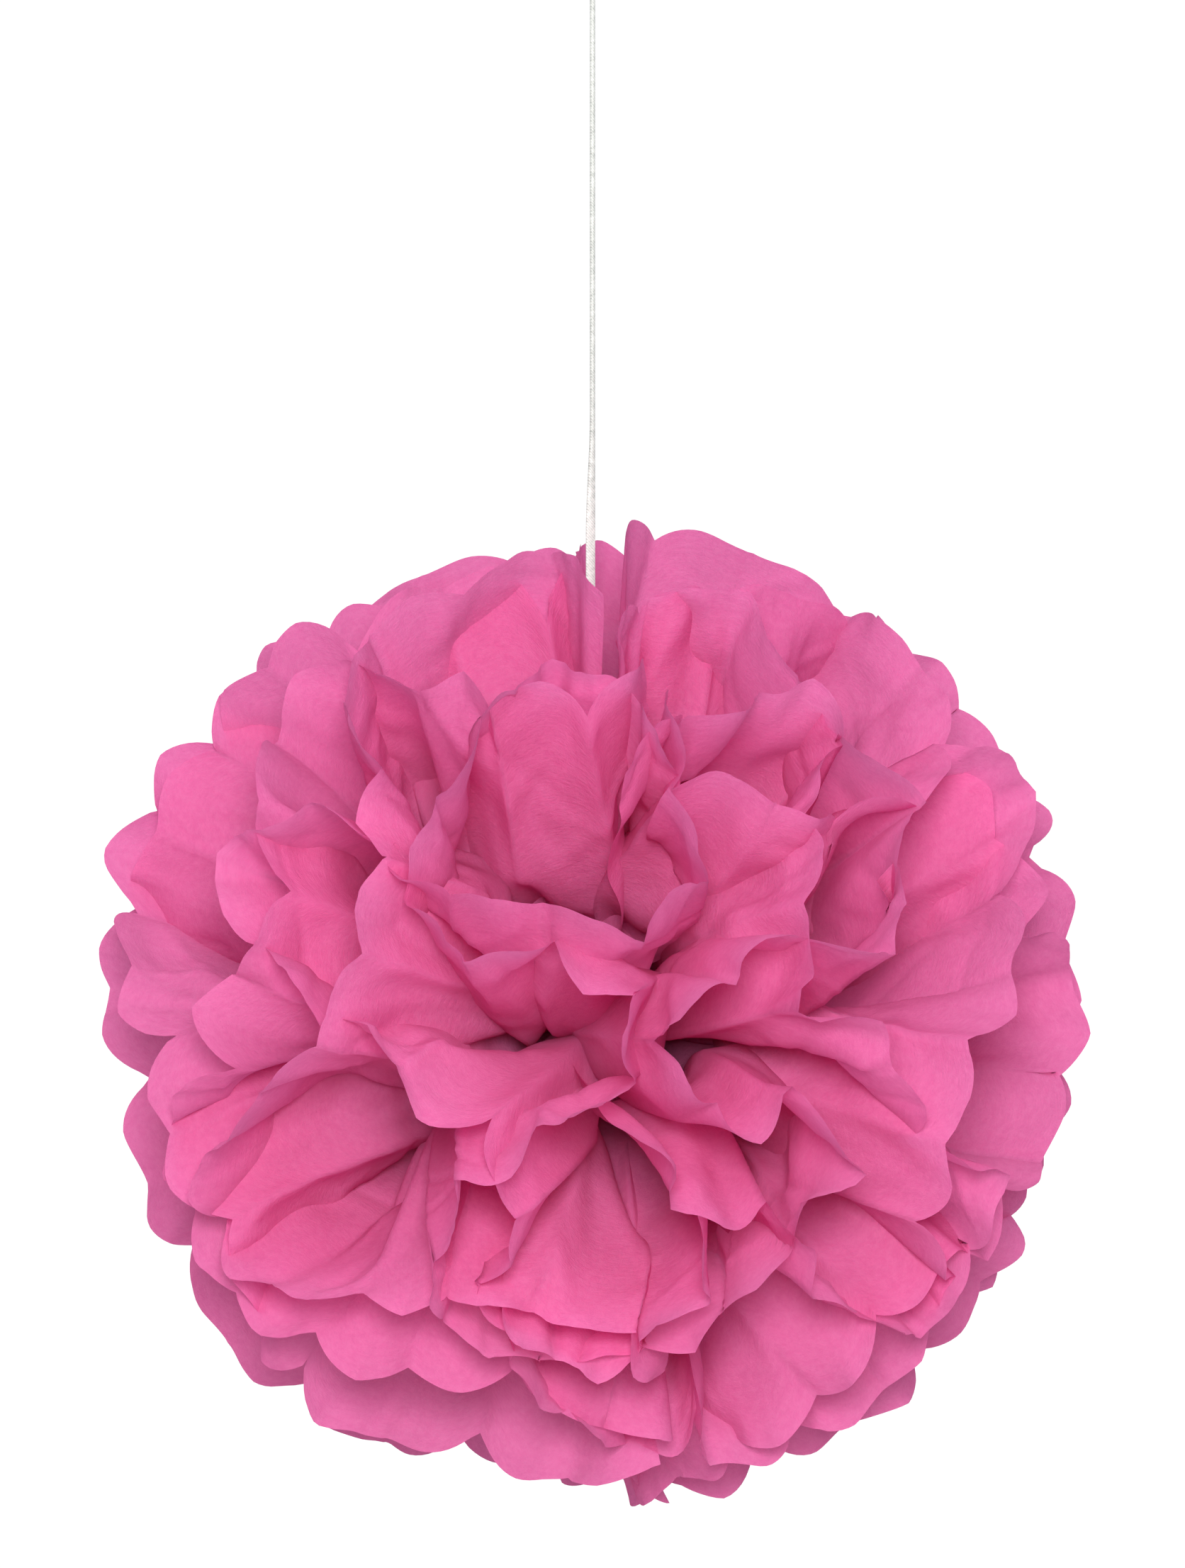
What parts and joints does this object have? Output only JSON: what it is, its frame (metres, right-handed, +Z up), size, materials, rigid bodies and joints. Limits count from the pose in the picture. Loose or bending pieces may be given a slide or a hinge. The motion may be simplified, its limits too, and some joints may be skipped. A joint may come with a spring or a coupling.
{
  "type": "tissue paper pom-pom ball",
  "caption": "Round hanging decoration of fluffed scalloped tissue paper sheets, tied at the waist with wire, on a thin ribbon with a hanging loop.",
  "frame": {"origin": "inside of the top bend of the hanging loop, where a hook holds it", "axes": "+Z up along the ribbon, +X to the right across the two fans, +Y from the front flower centre to the back one"},
  "size_m": [0.4026, 0.389, 0.671],
  "materials": {
    "tissue": "matt",
    "ribbon": "satin",
    "tie_wire": "satin"
  },
  "bodies": {
    "loop": {"hanging_loop": "ribbon"},
    "upper_knot": {"loop_knot": "ribbon"},
    "cord": {"hanging_cord": "ribbon"},
    "lower_knot": {"cord_knot": "ribbon"},
    "ball": {"tissue_sheet_01": "tissue", "tissue_sheet_02": "tissue", "tissue_sheet_03": "tissue", "tissue_sheet_04": "tissue", "tissue_sheet_05": "tissue", "tissue_sheet_06": "tissue", "tissue_sheet_07": "tissue", "tissue_sheet_08": "tissue", "tissue_sheet_09": "tissue", "tissue_sheet_10": "tissue", "wire_tie": "tie_wire"}
  },
  "joints": [
    {"name": "swing_side", "type": "hinge", "parent": "loop", "child": "upper_knot", "pos_m": [0, 0, -0.04], "axis": [0, 1, 0], "range_deg": [-30, 30]},
    {"name": "swing_front", "type": "hinge", "parent": "upper_knot", "child": "cord", "pos_m": [0, 0, -0.04], "axis": [1, 0, 0], "range_deg": [-30, 30]},
    {"name": "ball_spin", "type": "hinge", "parent": "cord", "child": "lower_knot", "pos_m": [0, 0, -0.45435], "axis": [0, 0, 1], "continuous": true},
    {"name": "ball_nod", "type": "hinge", "parent": "lower_knot", "child": "ball", "pos_m": [0, 0, -0.45975], "axis": [1, 0, 0], "range_deg": [-15, 15]}
  ]
}
